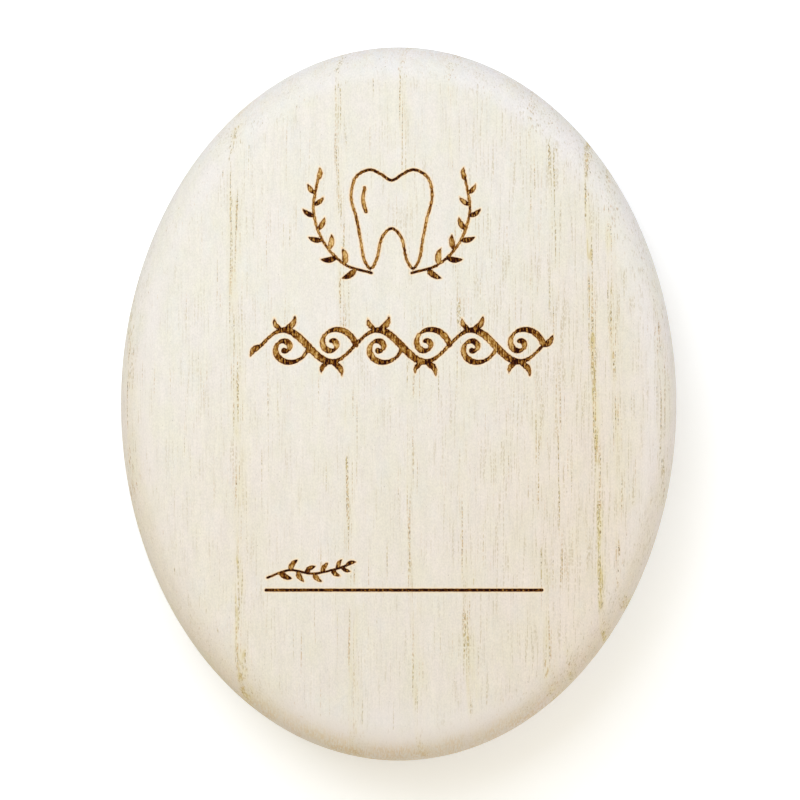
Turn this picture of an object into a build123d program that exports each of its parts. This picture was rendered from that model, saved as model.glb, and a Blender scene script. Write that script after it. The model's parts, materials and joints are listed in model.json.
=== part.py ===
from build123d import *
import math
import os

# An oval wooden keepsake box for shed milk teeth. The lid turns flat on a hidden pivot at one end
# and is held shut by two pairs of magnets at the other. All lengths are in millimetres.
# X runs across the box, Y along it towards the pivot, and Z up. The origin is the middle of the
# underside.

# Oval outline, shared by both halves
BOX_WIDTH = 95.0
BOX_LENGTH = 122.0

# Base
BASE_HEIGHT = 16.0
UNDER_ROUND = 3.5
SIDE_RIM = 6.0
END_RIM = 14.5
FLOOR_THICK = 5.0
RECESS_BREAK = 0.4

# Lid
LID_HEIGHT = 11.0
TOP_ROUND = 6.4

# Sanded corners along the seam of both halves
SEAM_BREAK = 0.5

# Tooth tray, glued into the recess of the base
TRAY_SIDE_CLEARANCE = 0.2
TRAY_SINK = 0.4
TRAY_MARGIN = 1.8
TRAY_BREAK = 0.3
WELL_BREAK = 0.5
POCKET_WIDTH = 40.0
POCKET_LENGTH = 53.0
POCKET_BREAK = 0.8

# Well diameters of one quarter of the ring, from the front tooth back to the last molar
FRONT_TOOTH_WELL = 8.5
SIDE_TOOTH_WELL = 8.5
CANINE_WELL = 9.0
FIRST_MOLAR_WELL = 10.0
SECOND_MOLAR_WELL = 10.5

# Pivot screw, head down
PIVOT_INSET = 8.1
SCREW_DIAMETER = 4.0
SCREW_TIP_CHAMFER = 0.5
HEAD_DIAMETER = 7.6
HEAD_HEIGHT = 2.2
HEAD_ROUND = 1.4
SOCKET_WIDTH = 2.5
SOCKET_DEPTH = 1.3

# Washer on the screw's head, and the room round both
WASHER_DIAMETER = 8.0
WASHER_THICK = 0.5
WASHER_BORE_CLEARANCE = 0.15
COUNTERBORE_CLEARANCE = 0.3

# Flanged bush, fixed in the base
BUSH_WALL = 1.15
BUSH_FLANGE_LIP = 1.3
BUSH_FLANGE_THICK = 0.85
BUSH_FLANGE_SEAT = 0.6
BUSH_BREAK = 0.15

# Insert, fixed in the lid
INSERT_WALL = 0.95
INSERT_LENGTH = 6.5
INSERT_COLLAR = 2.0
INSERT_NECK_STEP = 0.3
INSERT_RELIEF = 0.7

# Wooden plug that closes the counterbore
PLUG_THICK = 2.4
PLUG_SINK = 0.1
PLUG_BREAK = 0.25

# Disc magnets
MAGNET_DIAMETER = 6.0
MAGNET_THICK = 2.5
MAGNET_SINK = 0.1
MAGNET_BREAK = 0.25
MAGNET_SPREAD = 21.0

# Fits
GLUE_CLEARANCE = 0.05
RUN_CLEARANCE = 0.05
CUT_OVERRUN = 1.0

# Samples along a quarter of the ring of wells, for its length
RING_STEPS = 720

# Worked-out sizes and places
HALF_WIDTH = BOX_WIDTH / 2
HALF_LENGTH = BOX_LENGTH / 2
RECESS_HALF_WIDTH = HALF_WIDTH - SIDE_RIM
RECESS_HALF_LENGTH = HALF_LENGTH - END_RIM
TRAY_HEIGHT = BASE_HEIGHT - FLOOR_THICK - TRAY_SINK
QUARTER_WELLS = (FRONT_TOOTH_WELL, SIDE_TOOTH_WELL, CANINE_WELL, FIRST_MOLAR_WELL, SECOND_MOLAR_WELL)
RING_INSET = TRAY_SIDE_CLEARANCE + TRAY_MARGIN + max(QUARTER_WELLS) / 2
RING_HALF_WIDTH = RECESS_HALF_WIDTH - RING_INSET
RING_HALF_LENGTH = RECESS_HALF_LENGTH - RING_INSET
BUSH_BORE = SCREW_DIAMETER + 2 * RUN_CLEARANCE
BUSH_DIAMETER = BUSH_BORE + 2 * BUSH_WALL
BUSH_FLANGE_DIAMETER = BUSH_DIAMETER + 2 * BUSH_FLANGE_LIP
INSERT_BORE = SCREW_DIAMETER + 2 * GLUE_CLEARANCE
INSERT_DIAMETER = INSERT_BORE + 2 * INSERT_WALL
LID_GAP = BUSH_FLANGE_THICK - BUSH_FLANGE_SEAT + RUN_CLEARANCE
LID_UNDERSIDE = BASE_HEIGHT + LID_GAP
PIVOT_Y = HALF_LENGTH - PIVOT_INSET
HEAD_BOTTOM = PLUG_SINK + PLUG_THICK + RUN_CLEARANCE
WASHER_BOTTOM = HEAD_BOTTOM + HEAD_HEIGHT
COUNTERBORE_DIAMETER = max(WASHER_DIAMETER, HEAD_DIAMETER) + 2 * COUNTERBORE_CLEARANCE
COUNTERBORE_DEPTH = WASHER_BOTTOM + WASHER_THICK + RUN_CLEARANCE
MAGNET_POCKET_DEPTH = MAGNET_SINK + MAGNET_THICK + GLUE_CLEARANCE


def disc(diameter, height, x=0, y=0, z=0):
    """An upright cylinder that stands on the point given."""
    on_its_foot = (Align.CENTER, Align.CENTER, Align.MIN)
    return Pos(x, y, z) * Cylinder(diameter / 2, height, align=on_its_foot)


def hole(diameter, height, x, y, z):
    """The cutter of a hole for a piece of this diameter, with glue room all round."""
    return disc(diameter + 2 * GLUE_CLEARANCE, height, x, y, z)


def oval(half_width, half_length, height, z):
    """An upright elliptic block whose underside is at z."""
    return Pos(0, 0, z) * extrude(Ellipse(half_width, half_length), height)


def low_edges(block):
    """The edges round the underside of a block."""
    return block.edges().group_by(Axis.Z)[0]


def high_edges(block):
    """The edges round the top face of a block."""
    return block.edges().group_by(Axis.Z)[-1]


def rim_middle(x):
    """How far from the box's middle the end rim's centre line is, at a distance x to one side."""
    outer = HALF_LENGTH * math.sqrt(1 - (x / HALF_WIDTH) ** 2)
    inner = RECESS_HALF_LENGTH * math.sqrt(1 - (x / RECESS_HALF_WIDTH) ** 2)
    return (outer + inner) / 2


def magnet_places():
    """The middle of each pair of magnets, in the end rim away from the pivot."""
    x = MAGNET_SPREAD / 2
    y = -rim_middle(x)
    return {"left": (-x, y), "right": (x, y)}


def quarter_ring():
    """Points along a quarter of the ring of wells, from its far end to its side, with the length to each."""
    points = []
    for step in range(RING_STEPS + 1):
        angle = math.pi / 2 * step / RING_STEPS
        points.append((RING_HALF_WIDTH * math.sin(angle), RING_HALF_LENGTH * math.cos(angle)))
    lengths = [0.0]
    for start, end in zip(points, points[1:]):
        lengths.append(lengths[-1] + math.dist(start, end))
    return points, lengths


def well_places():
    """Centre and diameter of each of the twenty wells: five a quarter, with equal walls between them."""
    points, lengths = quarter_ring()
    wall = (lengths[-1] - sum(QUARTER_WELLS)) / len(QUARTER_WELLS)
    quarter = []
    along = wall / 2
    for diameter in QUARTER_WELLS:
        along += diameter / 2
        nearest = min(range(len(lengths)), key=lambda i: abs(lengths[i] - along))
        quarter.append((points[nearest], diameter))
        along += diameter / 2 + wall
    places = []
    for side_y in (1, -1):
        for side_x in (-1, 1):
            for (x, y), diameter in quarter:
                places.append((side_x * x, side_y * y, diameter))
    return places


def base():
    """Lower half: a block with a recess for the tray, the pivot's stepped hole and two magnet pockets."""
    block = oval(HALF_WIDTH, HALF_LENGTH, BASE_HEIGHT, 0)
    block = fillet(low_edges(block), UNDER_ROUND)
    block = fillet(high_edges(block), SEAM_BREAK)
    recess_depth = BASE_HEIGHT - FLOOR_THICK
    block -= oval(RECESS_HALF_WIDTH, RECESS_HALF_LENGTH, recess_depth + CUT_OVERRUN, FLOOR_THICK)
    mouth = high_edges(block).sort_by(SortBy.LENGTH)[0]
    block = chamfer(mouth, RECESS_BREAK)
    block -= disc(COUNTERBORE_DIAMETER, COUNTERBORE_DEPTH + CUT_OVERRUN, 0, PIVOT_Y, -CUT_OVERRUN)
    block -= hole(BUSH_DIAMETER, BASE_HEIGHT + CUT_OVERRUN, 0, PIVOT_Y, 0)
    seat_foot = BASE_HEIGHT - BUSH_FLANGE_SEAT
    block -= hole(BUSH_FLANGE_DIAMETER, BUSH_FLANGE_SEAT + CUT_OVERRUN, 0, PIVOT_Y, seat_foot)
    pocket_foot = BASE_HEIGHT - MAGNET_POCKET_DEPTH
    for x, y in magnet_places().values():
        block -= hole(MAGNET_DIAMETER, MAGNET_POCKET_DEPTH + CUT_OVERRUN, x, y, pocket_foot)
    return block


def lid():
    """Upper half: a block with a rounded top edge, and below it the insert's hole and magnet pockets."""
    block = oval(HALF_WIDTH, HALF_LENGTH, LID_HEIGHT, LID_UNDERSIDE)
    block = fillet(high_edges(block), TOP_ROUND)
    block = fillet(low_edges(block), SEAM_BREAK)
    tool_foot = LID_UNDERSIDE - CUT_OVERRUN
    insert_hole_depth = INSERT_LENGTH + INSERT_RELIEF
    block -= hole(INSERT_DIAMETER, insert_hole_depth + CUT_OVERRUN, 0, PIVOT_Y, tool_foot)
    for x, y in magnet_places().values():
        block -= hole(MAGNET_DIAMETER, MAGNET_POCKET_DEPTH + CUT_OVERRUN, x, y, tool_foot)
    return block


def tooth_tray():
    """Board with twenty wells in a ring and an oval pocket in the middle, all open to the floor below."""
    half_width = RECESS_HALF_WIDTH - TRAY_SIDE_CLEARANCE
    half_length = RECESS_HALF_LENGTH - TRAY_SIDE_CLEARANCE
    board = oval(half_width, half_length, TRAY_HEIGHT, FLOOR_THICK)
    board = chamfer(high_edges(board), TRAY_BREAK)
    top = FLOOR_THICK + TRAY_HEIGHT
    tool_height = TRAY_HEIGHT + 2 * CUT_OVERRUN
    tool_foot = FLOOR_THICK - CUT_OVERRUN
    board -= oval(POCKET_WIDTH / 2, POCKET_LENGTH / 2, tool_height, tool_foot)
    pocket_mouth = high_edges(board).sort_by(SortBy.LENGTH)[0]
    board = chamfer(pocket_mouth, POCKET_BREAK)
    cone_height = WELL_BREAK + CUT_OVERRUN
    for x, y, diameter in well_places():
        board -= disc(diameter, tool_height, x, y, tool_foot)
        mouth_cone = Cone(diameter / 2, diameter / 2 + cone_height, cone_height)
        board -= Pos(x, y, top - WELL_BREAK + cone_height / 2) * mouth_cone
    return board


def pivot_bush():
    """Flanged sleeve fixed in the base. Its flange stands proud and carries the lid."""
    shank_height = BASE_HEIGHT - BUSH_FLANGE_SEAT - COUNTERBORE_DEPTH
    shank = disc(BUSH_DIAMETER, shank_height, 0, PIVOT_Y, COUNTERBORE_DEPTH)
    flange = disc(BUSH_FLANGE_DIAMETER, BUSH_FLANGE_THICK, 0, PIVOT_Y, BASE_HEIGHT - BUSH_FLANGE_SEAT)
    flange = chamfer(high_edges(flange), BUSH_BREAK)
    bore = disc(BUSH_BORE, LID_UNDERSIDE, 0, PIVOT_Y)
    return shank + flange - bore


def pivot_screw():
    """Button-head screw, head down, that reaches up through the bush into the insert."""
    head = disc(HEAD_DIAMETER, HEAD_HEIGHT, 0, PIVOT_Y, HEAD_BOTTOM)
    head = fillet(low_edges(head), HEAD_ROUND)
    socket = extrude(RegularPolygon(SOCKET_WIDTH / 2, 6, major_radius=False), SOCKET_DEPTH + CUT_OVERRUN)
    head -= Pos(0, PIVOT_Y, HEAD_BOTTOM - CUT_OVERRUN) * socket
    shank_height = LID_UNDERSIDE + INSERT_LENGTH - WASHER_BOTTOM
    shank = disc(SCREW_DIAMETER, shank_height, 0, PIVOT_Y, WASHER_BOTTOM)
    shank = chamfer(high_edges(shank), SCREW_TIP_CHAMFER)
    return head + shank


def head_washer():
    """Flat washer between the screw's head and the base."""
    ring = disc(WASHER_DIAMETER, WASHER_THICK, 0, PIVOT_Y, WASHER_BOTTOM)
    bore = disc(SCREW_DIAMETER + 2 * WASHER_BORE_CLEARANCE, WASHER_THICK, 0, PIVOT_Y, WASHER_BOTTOM)
    return ring - bore


def lid_insert():
    """Brass insert in the lid, with a collar at each end and a narrower neck between them."""
    body = disc(INSERT_DIAMETER, INSERT_LENGTH, 0, PIVOT_Y, LID_UNDERSIDE)
    neck_height = INSERT_LENGTH - 2 * INSERT_COLLAR
    neck_foot = LID_UNDERSIDE + INSERT_COLLAR
    groove = disc(INSERT_DIAMETER + CUT_OVERRUN, neck_height, 0, PIVOT_Y, neck_foot)
    groove -= disc(INSERT_DIAMETER - 2 * INSERT_NECK_STEP, neck_height, 0, PIVOT_Y, neck_foot)
    bore = disc(INSERT_BORE, INSERT_LENGTH, 0, PIVOT_Y, LID_UNDERSIDE)
    return body - groove - bore


def pivot_plug():
    """Wooden disc that hides the screw's head from below."""
    plug = disc(COUNTERBORE_DIAMETER - 2 * GLUE_CLEARANCE, PLUG_THICK, 0, PIVOT_Y, PLUG_SINK)
    return chamfer(low_edges(plug), PLUG_BREAK)


def magnet(x, y, z):
    """Disc magnet that stands on z."""
    body = disc(MAGNET_DIAMETER, MAGNET_THICK, x, y, z)
    return fillet(low_edges(body) + high_edges(body), MAGNET_BREAK)


def main():
    """Make every piece and write it to its own file."""
    pieces = {
        "base": base(),
        "lid": lid(),
        "tooth_tray": tooth_tray(),
        "pivot_bush": pivot_bush(),
        "pivot_screw": pivot_screw(),
        "head_washer": head_washer(),
        "lid_insert": lid_insert(),
        "pivot_plug": pivot_plug(),
    }
    for side, (x, y) in magnet_places().items():
        pieces[f"base_magnet_{side}"] = magnet(x, y, BASE_HEIGHT - MAGNET_SINK - MAGNET_THICK)
        pieces[f"lid_magnet_{side}"] = magnet(x, y, LID_UNDERSIDE + MAGNET_SINK)
    os.makedirs("parts", exist_ok=True)
    for name, shape in pieces.items():
        export_step(shape, f"parts/{name}.step")


main()
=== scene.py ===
import json
import math
import bpy
import numpy as np
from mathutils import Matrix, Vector
from mathutils.geometry import delaunay_2d_cdt


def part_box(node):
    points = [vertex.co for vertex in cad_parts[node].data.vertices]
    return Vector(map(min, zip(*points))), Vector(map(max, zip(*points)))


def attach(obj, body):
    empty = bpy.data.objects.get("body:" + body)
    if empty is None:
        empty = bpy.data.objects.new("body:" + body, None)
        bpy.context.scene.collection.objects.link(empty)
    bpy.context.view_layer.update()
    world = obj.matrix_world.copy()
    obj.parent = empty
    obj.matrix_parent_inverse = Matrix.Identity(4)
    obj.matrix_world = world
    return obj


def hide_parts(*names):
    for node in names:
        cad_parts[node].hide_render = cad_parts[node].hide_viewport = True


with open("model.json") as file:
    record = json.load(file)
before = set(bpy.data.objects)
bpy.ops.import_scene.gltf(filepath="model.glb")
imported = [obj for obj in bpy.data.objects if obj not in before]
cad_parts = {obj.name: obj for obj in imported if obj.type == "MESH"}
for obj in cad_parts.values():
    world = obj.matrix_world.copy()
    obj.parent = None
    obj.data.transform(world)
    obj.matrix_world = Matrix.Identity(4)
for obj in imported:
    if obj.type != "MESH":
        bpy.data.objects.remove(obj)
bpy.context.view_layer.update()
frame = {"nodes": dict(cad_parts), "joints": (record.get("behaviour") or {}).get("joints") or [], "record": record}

# The scene is in metres. The lid, its ornament and the wood's pattern are worked out in millimetres
MM = 0.001

# Sizes of the lid that the frame's boxes don't give
TOP_ROUND = 6.4
SEAM_BREAK = 0.5
GLUE_CLEARANCE = 0.05
INSERT_HOLE_DEPTH = 7.2
MAGNET_POCKET_DEPTH = 2.65

# Fineness of the lid's surface
ROUND_STEPS = 14
SEAM_STEPS = 4
OUTLINE_STEPS = 512
POCKET_STEPS = 64
CARVED_CELL = 0.16
FLATTEST_SLOPE = 0.5
PLATE_TOLERANCE = 1e-7
LID_WELD_DIGITS = 5
SHARP_ANGLE = math.radians(40)

# Laser-burnt grooves: depth, how far round them the distance is measured, widths of lines, and how uneven the
# floor is from one fibre to the next
BURN_DEPTH = 0.2
BURN_REACH = 0.8
THIN_LINE = 0.47
FINE_LINE = 0.38
FLOOR_UNEVENNESS = 0.03
FLOOR_SEED = 7

# Char of a line: along the grain, more as it turns across, more again squarely across, and more near its ends
CHAR_ALONG = 0.05
CHAR_ACROSS = 0.62
CHAR_SQUARE = 0.22
CHAR_END = 0.4
CHAR_END_REACH = 0.7

# Light, where one on a white surface shows it white
ROOM_LIGHT = (0.277, 0.268, 0.210)
# Panels: direction, the cosines to it at which a panel starts and is full, and its light
PANELS = (
    ((-1, 0, 0), 0.0, 0.8, (0.72, 0.70, 0.52)),
    ((1, 0, 0), 0.0, 0.8, (1.96, 2.12, 2.55)),
    ((0, 1, 0), 0.1, 0.9, (0.00, 0.22, 1.00)),
    ((0, -1, 0), 0.5, 1.0, (0.65, 0.38, 0.05)),
)
PANEL_TOP = 0.6
UNDER_LIGHT = (0.86, 0.85, 0.80)
UNDER_START = -0.01
UNDER_FULL = -0.15
KEY_PLACE = (-0.12, 0.16, 0.42)
KEY_LIGHT = (1.12, 1.23, 1.45)
TOP_PLACE = (0.0, 0.0, 0.5)
TOP_LIGHT = (0.41, 0.35, 0.22)
LAMP_SIZE = 0.3

# Floor, in metres: its own white is weak out to the first distance and full from the second
FLOOR_SIDE = 12.0
FLOOR_DROP = 0.00002
FLOOR_GLOW = 0.36
FLOOR_GLOW_REACH = (0.08, 0.45)
FLOOR_GRAIN_PER_M = 40.0

# Photograph's frame, in pixels, and the lid's outline in it
PHOTO_SIZE = 800
OUTLINE_CENTRE_PX = (398.7, 404.0)
OUTLINE_WIDTH_PX = 555.5

# Camera: its distance and clipping in metres, its sensor in millimetres
CAMERA_DISTANCE = 1.6
CLIP_START = 0.05
CLIP_END = 20.0
SENSOR_WIDTH = 36.0


def srgb(red, green, blue):
    """A screen colour, 0 to 255, as the linear colour that sockets take."""
    parts = np.array([red, green, blue]) / 255
    linear = np.where(parts <= 0.04045, parts / 12.92, ((parts + 0.055) / 1.055) ** 2.4)
    return (*linear.tolist(), 1.0)


class Nodes:
    """A node tree with short ways to add to it. Each way takes sockets or plain values."""

    def __init__(self, tree):
        self.tree = tree

    def add(self, kind, inputs=None, **settings):
        """A new node, with its settings made and its named inputs fed."""
        node = self.tree.nodes.new(kind)
        for name, value in settings.items():
            setattr(node, name, value)
        self.feed_all(node, inputs or {})
        return node

    def feed_all(self, node, inputs):
        """Feeds a node's inputs by name."""
        for name, value in inputs.items():
            self.feed(node.inputs[name], value)

    def feed(self, socket, value):
        """Links a socket's value in, or sets a plain one."""
        if isinstance(value, bpy.types.NodeSocket):
            self.tree.links.new(value, socket)
        else:
            socket.default_value = value

    def operate(self, kind, values, **settings):
        """A new node that works on its values in turn."""
        node = self.add(kind, **settings)
        for socket, value in zip(node.inputs, values):
            self.feed(socket, value)
        return node

    def math(self, operation, *values, clamp=False):
        """A number worked out from numbers."""
        return self.operate("ShaderNodeMath", values, operation=operation, use_clamp=clamp).outputs[0]

    def times(self, *values):
        """Two numbers multiplied."""
        return self.math("MULTIPLY", *values)

    def times_plus(self, *values):
        """Two numbers multiplied, and a third added."""
        return self.math("MULTIPLY_ADD", *values)

    def vector(self, operation, *values):
        """A vector worked out from vectors."""
        return self.operate("ShaderNodeVectorMath", values, operation=operation).outputs[0]

    def scaled(self, vector, factor):
        """A vector times one number."""
        return self.vector("MULTIPLY", vector, (factor, factor, factor))

    def measure(self, operation, *values):
        """A number worked out from vectors, such as a length."""
        return self.operate("ShaderNodeVectorMath", values, operation=operation).outputs["Value"]

    def split(self, value):
        """The three parts of a vector or colour."""
        return self.add("ShaderNodeSeparateXYZ", {"Vector": value}).outputs

    def grey(self, value):
        """One value as all three parts of a colour or vector."""
        return self.add("ShaderNodeCombineXYZ", {"X": value, "Y": value, "Z": value}).outputs[0]

    def smooth(self, value, low, high, out_low=0.0, out_high=1.0):
        """The value carried from one range to another along a smooth step."""
        inputs = {"Value": value, "From Min": low, "From Max": high, "To Min": out_low, "To Max": out_high}
        return self.add("ShaderNodeMapRange", inputs, interpolation_type="SMOOTHSTEP").outputs[0]

    def noise(self, vector, detail=2.0, rough=0.5):
        """Soft noise about one half, with features about one unit across."""
        inputs = {"Vector": vector, "Scale": 1.0, "Detail": detail, "Roughness": rough}
        return self.add("ShaderNodeTexNoise", inputs).outputs[0]

    def mix(self, share, low, high, blend="MIX"):
        """Two colours mixed by a share."""
        node = self.add("ShaderNodeMix", data_type="RGBA", blend_type=blend)
        self.feed(node.inputs[0], share)
        self.feed(node.inputs[6], low)
        self.feed(node.inputs[7], high)
        return node.outputs[2]

    def stain(self, colour, over, mask, most):
        """A colour with another laid over it where a mask says, by that share at most."""
        return self.mix(self.times(mask, most), colour, over)

    def tint(self, colour, factor):
        """A colour multiplied by another."""
        return self.mix(1.0, colour, factor, "MULTIPLY")

    def ramp(self, value, stops):
        """A colour ramp through (place, colour) stops."""
        node = self.add("ShaderNodeValToRGB", {"Fac": value})
        elements = node.color_ramp.elements
        while len(elements) < len(stops):
            elements.new(0.5)
        for element, (place, colour) in zip(elements, stops):
            element.position = place
            element.color = colour
        return node.outputs[0]


def group(name, inputs, outputs):
    """A new shader group. Returns its nodes, its inputs' sockets and its output node."""
    tree = bpy.data.node_groups.new(name, "ShaderNodeTree")
    kinds = {"value": "NodeSocketFloat", "vector": "NodeSocketVector", "colour": "NodeSocketColor"}
    for title, (kind, default) in inputs.items():
        socket = tree.interface.new_socket(title, in_out="INPUT", socket_type=kinds[kind])
        socket.default_value = default
    for title, kind in outputs.items():
        tree.interface.new_socket(title, in_out="OUTPUT", socket_type=kinds[kind])
    nodes = Nodes(tree)
    given = nodes.add("NodeGroupInput").outputs
    made = nodes.add("NodeGroupOutput")
    return nodes, given, made


# Growth rings: where each early-wood line crosses the lid's middle and how far it fades out from there, in
# millimetres, its strength and how golden it is
RING_LINES = (
    (-47.2, 2.6, 0.60, 0.50), (-28.3, 2.8, 0.68, 0.90), (-9.5, 2.6, 0.62, 0.55), (1.6, 2.6, 0.51, 0.50),
    (10.1, 2.6, 0.52, 0.45), (23.3, 2.6, 0.54, 0.35), (26.7, 2.6, 0.54, 0.30), (32.9, 1.5, 0.96, 1.05),
    (36.4, 2.2, 0.70, 0.80), (43.8, 2.6, 0.50, 0.40),
)
# Places across the log, with how yellow and how porous the wood is there
ACROSS = (
    (-50.0, 0.25, 0.6), (-40.0, 0.00, 0.1), (-27.0, 0.10, 0.6), (-18.0, 0.00, 0.1), (5.0, 0.07, 0.3),
    (18.0, 0.22, 0.9), (33.0, 0.45, 1.0), (42.0, 0.27, 0.8), (50.0, 0.22, 0.6),
)
# In millimetres: half the width after which the rings are mirrored, a line's sharp side and its wander in all
RING_SPAN = 50.0
RING_RISE = 0.35
RING_WANDER = 2.6
# How far a line moves aside for each millimetre along the log, how much more across it, and with height
RING_DRIFT = 0.0255
RING_FAN = 0.00037
RING_LEAN = 0.22

# Colours of the wood's ground
CREAM = srgb(236, 230, 214)
ROSE = srgb(238, 230, 220)
COOL_GREY = srgb(234, 231, 222)
YELLOWER = (1.0, 0.905, 0.83, 1.0)

# Colours of its rows and pores
GOLDEN_GLOW = srgb(234, 221, 172)
GOLD_STREAK = srgb(208, 184, 104)
GREEN_OCHRE = srgb(188, 162, 88)
RED_OCHRE = srgb(206, 166, 108)
OPEN_PORE = srgb(112, 90, 48)
FAINT_PORE = srgb(190, 170, 126)
SINGLE_PORE = srgb(128, 108, 76)

# Colours towards the edges of the board: a paler lower end and a shoulder band as painted highlight, a darker
# steep tint as painted shade, and end-grain brown that is partly painted warm shade
PALE_END_HIGHLIGHT = srgb(241, 233, 229)
SHOULDER_HIGHLIGHT = srgb(241, 232, 227)
STEEP_SHADE_TINT = (0.982, 0.97, 0.955, 1.0)
END_GRAIN_AND_SHADE_BROWN = srgb(220, 186, 124)


def across_stop(place, first, second):
    """A ramp stop at a place across the log that carries two values, as red and green."""
    return (place + RING_SPAN) / (2 * RING_SPAN), (first, second, 0.0, 1.0)


def ring_stops():
    """Stops of the ring profile: each line starts sharply on its pith side and fades out on the other."""
    stops = []
    for place, fall, strength, gold in RING_LINES:
        for offset, height in ((-RING_RISE, 0.0), (0.0, strength), (fall, 0.0)):
            stops.append(across_stop(place + offset, height, height * gold))
    return sorted(stops)


class Log(Nodes):
    """The wood's nodes, with the point of the log that they colour, in millimetres, and how low it lies."""

    def __init__(self, tree, here):
        super().__init__(tree)
        self.here = here
        self.x, self.y, self.z = self.split(here)
        self.low = self.smooth(self.y, -22.0, -46.0)

    def grain(self, across, along, shift, detail=2.0, rough=0.5):
        """Noise whose features are so many millimetres across and along the grain. A shift of its own keeps
        each pattern apart."""
        moved = self.vector("ADD", self.here, (shift, shift, shift))
        sized = self.vector("MULTIPLY", moved, (1 / across, 1 / along, 1 / across))
        return self.noise(sized, detail=detail, rough=rough)


def ring_masks(log, strength):
    """Where a point lies across the rings, and how much line and gold is there. The lines drift with Y, lean
    with Z, wander a little, come and go along the grain, and are more golden low on the log."""
    drift = log.times_plus(log.x, RING_FAN, RING_DRIFT)
    place = log.times_plus(log.y, drift, log.x)
    place = log.times_plus(log.z, RING_LEAN, place)
    wander = log.times_plus(log.grain(14, 60, 0.0, 1.0), RING_WANDER, -RING_WANDER / 2)
    place = log.math("ADD", log.math("ADD", place, wander), RING_SPAN)
    place = log.math("DIVIDE", log.math("PINGPONG", place, 2 * RING_SPAN), 2 * RING_SPAN)
    rings = log.split(log.ramp(place, ring_stops()))
    present = log.smooth(log.grain(2.5, 9, 31.0), 0.38, 0.6, 0.34, 1.06)
    present = log.times(present, strength)
    ring, golden = (log.times(rings[part], present) for part in (0, 1))
    golden = log.times_plus(log.times(ring, log.low), 0.85, golden)
    return place, ring, golden


def ground_colour(log, place):
    """Blotches of cream, rose and cool grey, yellower on one side across the log and towards the lower end.
    Returns the colour and how porous the wood is."""
    rosy = log.smooth(log.grain(5, 9, 0.0, 3.0, 0.6), 0.32, 0.68)
    colour = log.mix(rosy, CREAM, ROSE)
    cool = log.smooth(log.grain(4, 7, 63.0, 3.0, 0.6), 0.5, 0.75)
    colour = log.stain(colour, COOL_GREY, cool, 0.5)
    across = log.ramp(place, [across_stop(*stop) for stop in ACROSS])
    yellow, porous, _ = log.split(across)
    # Yellower towards the lower end, less so towards the upper end
    warm = log.math("ADD", yellow, log.smooth(log.y, 55.0, -30.0, -0.4, 0.25))
    return log.mix(warm, colour, log.tint(colour, YELLOWER)), porous


def light_and_dark(log, fibre, fuzz):
    """How light the wood is, about one: long streaks, mottling, fibres and a fine fuzz."""
    light = log.times_plus(log.grain(1.5, 24, 7.0, 3.0, 0.6), 0.08, 0.954)
    mottle = log.grain(1.6, 3.0, 23.0, 3.0, 0.6)
    for part, share in ((mottle, 0.10), (fibre, 0.09), (fuzz, 0.22)):
        light = log.times_plus(part, share, log.math("SUBTRACT", light, share / 2))
    return light


def ring_rows(log, colour, ring, golden, beads):
    """Along each golden line a yellow glow and long gold streaks, and along every line rows of open vessels:
    ochre dashes, the deepest of them dark. Returns the colour, the dashes and the dark dots."""
    glow = log.times(golden, log.smooth(log.grain(0.8, 6, 19.0), 0.3, 0.65, 0.3, 1.1))
    colour = log.stain(colour, GOLDEN_GLOW, glow, 0.55)
    streak = log.times_plus(golden, 0.42, log.grain(0.4, 3.2, 47.0, 1.0))
    colour = log.stain(colour, GOLD_STREAK, log.smooth(streak, 0.82, 0.96), 0.5)
    row = log.times_plus(ring, 0.36, log.grain(0.28, 14, 5.0, 1.0))
    dashes = log.times(log.smooth(row, 0.66, 0.8), log.smooth(beads, 0.42, 0.58))
    ochre = log.mix(log.smooth(log.grain(2, 5, 29.0, 1.0), 0.4, 0.6), GREEN_OCHRE, RED_OCHRE)
    colour = log.stain(colour, ochre, dashes, 0.66)
    deepest = log.smooth(log.grain(0.19, 0.42, 41.0, 1.0), 0.57, 0.65)
    dots = log.times(log.smooth(row, 0.72, 0.8), deepest)
    colour = log.stain(colour, OPEN_PORE, dots, log.times_plus(log.low, -0.3, 0.74))
    return colour, dashes, dots


def faint_rows(log, colour, porous, beads):
    """Fainter rows of vessels in loose clusters all over, more of them where the wood is porous."""
    cluster = log.smooth(log.grain(4, 16, 37.0, 1.0), 0.4, 0.7, 0.0, 0.08)
    cluster = log.times_plus(porous, 0.055, cluster)
    faint = log.math("ADD", log.grain(0.26, 8, 53.0, 1.0), cluster)
    faint = log.times(log.smooth(faint, 0.62, 0.78), log.smooth(beads, 0.36, 0.6))
    return log.stain(colour, FAINT_PORE, faint, log.times_plus(porous, 0.26, 0.24))


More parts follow.
